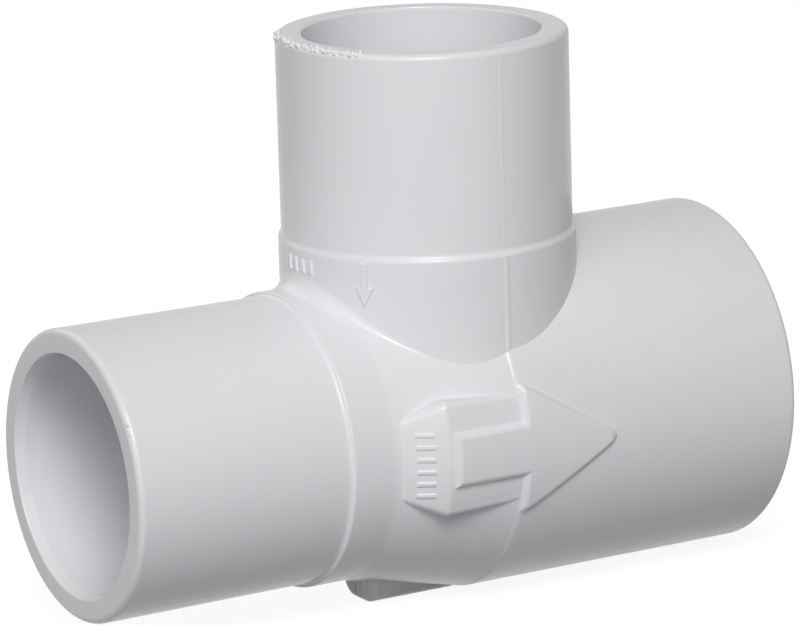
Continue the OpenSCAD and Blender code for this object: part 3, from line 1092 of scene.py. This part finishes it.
def makeFloor(sizes):
    deselectAll()
    bpy.ops.mesh.primitive_plane_add(
        size=sizes["side"], location=(sizes["middle"], 0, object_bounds()[0][2]))
    floor = bpy.context.object
    floor.name = "floor"
    applyPlace()
    pale = bpy.data.materials.new("paleFloor")
    pale.use_nodes = True
    tree = pale.node_tree
    tree.nodes.remove(tree.nodes["Principled BSDF"])
    output = tree.nodes["Material Output"]
    matte = tree.nodes.new("ShaderNodeBsdfDiffuse")
    matte.inputs["Color"].default_value = (*sizes["floorColour"], 1)
    glow = tree.nodes.new("ShaderNodeEmission")
    glow.inputs["Strength"].default_value = sizes["glow"]
    both = tree.nodes.new("ShaderNodeAddShader")
    tree.links.new(matte.outputs["BSDF"], both.inputs[0])
    tree.links.new(glow.outputs["Emission"], both.inputs[1])
    mix = tree.nodes.new("ShaderNodeMixShader")
    tree.links.new(seenDirectly(tree), mix.inputs["Fac"])
    tree.links.new(matte.outputs["BSDF"], mix.inputs[1])
    tree.links.new(both.outputs["Shader"], mix.inputs[2])
    tree.links.new(mix.outputs["Shader"], output.inputs["Surface"])
    dress(floor, pale)
    floor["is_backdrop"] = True


def seenDirectly(tree):
    # 1 for what the camera, a reflection or a clear wall looks at
    path = tree.nodes.new("ShaderNodeLightPath")
    first = tree.nodes.new("ShaderNodeMath")
    first.operation = "MAXIMUM"
    tree.links.new(path.outputs["Is Camera Ray"], first.inputs[0])
    tree.links.new(path.outputs["Is Glossy Ray"], first.inputs[1])
    second = tree.nodes.new("ShaderNodeMath")
    second.operation = "MAXIMUM"
    tree.links.new(first.outputs["Value"], second.inputs[0])
    tree.links.new(path.outputs["Is Transmission Ray"], second.inputs[1])
    return second.outputs["Value"]


def makeWorld(sizes):
    world = bpy.data.worlds.new("studio")
    scene.world = world
    world.use_nodes = True
    tree = world.node_tree
    light = tree.nodes["Background"]
    light.inputs["Color"].default_value = (*sizes["world"], 1)
    light.inputs["Strength"].default_value = sizes["worldStrength"]
    white = tree.nodes.new("ShaderNodeBackground")
    white.inputs["Strength"].default_value = 1
    mix = tree.nodes.new("ShaderNodeMixShader")
    tree.links.new(seenDirectly(tree), mix.inputs["Fac"])
    tree.links.new(light.outputs["Background"], mix.inputs[1])
    tree.links.new(white.outputs["Background"], mix.inputs[2])
    tree.links.new(mix.outputs["Shader"], tree.nodes["World Output"].inputs["Surface"])


def makeLamps(lamps):
    middle = Vector(cameraSizes["aim"])
    for name, sizes in lamps.items():
        azimuth = math.radians(sizes["azimuth"])      # 0 is in front, at -Y; positive towards +X
        elevation = math.radians(sizes["elevation"])
        data = bpy.data.lights.new(name + "Lamp", "AREA")
        data.energy = sizes["watts"]
        data.size = sizes["size"]
        lamp = bpy.data.objects.new(name + "Lamp", data)
        scene.collection.objects.link(lamp)
        lamp.location = middle + sizes["distance"] * Vector((
            math.sin(azimuth) * math.cos(elevation),
            -math.cos(azimuth) * math.cos(elevation),
            math.sin(elevation),
        ))
        lamp.rotation_euler = (middle - lamp.location).to_track_quat("-Z", "Y").to_euler()


makeFloor(stageSizes)
makeWorld(stageSizes)
makeLamps(lampSizes)
scene.view_settings.view_transform = "Standard"
print("stage and lamps placed")
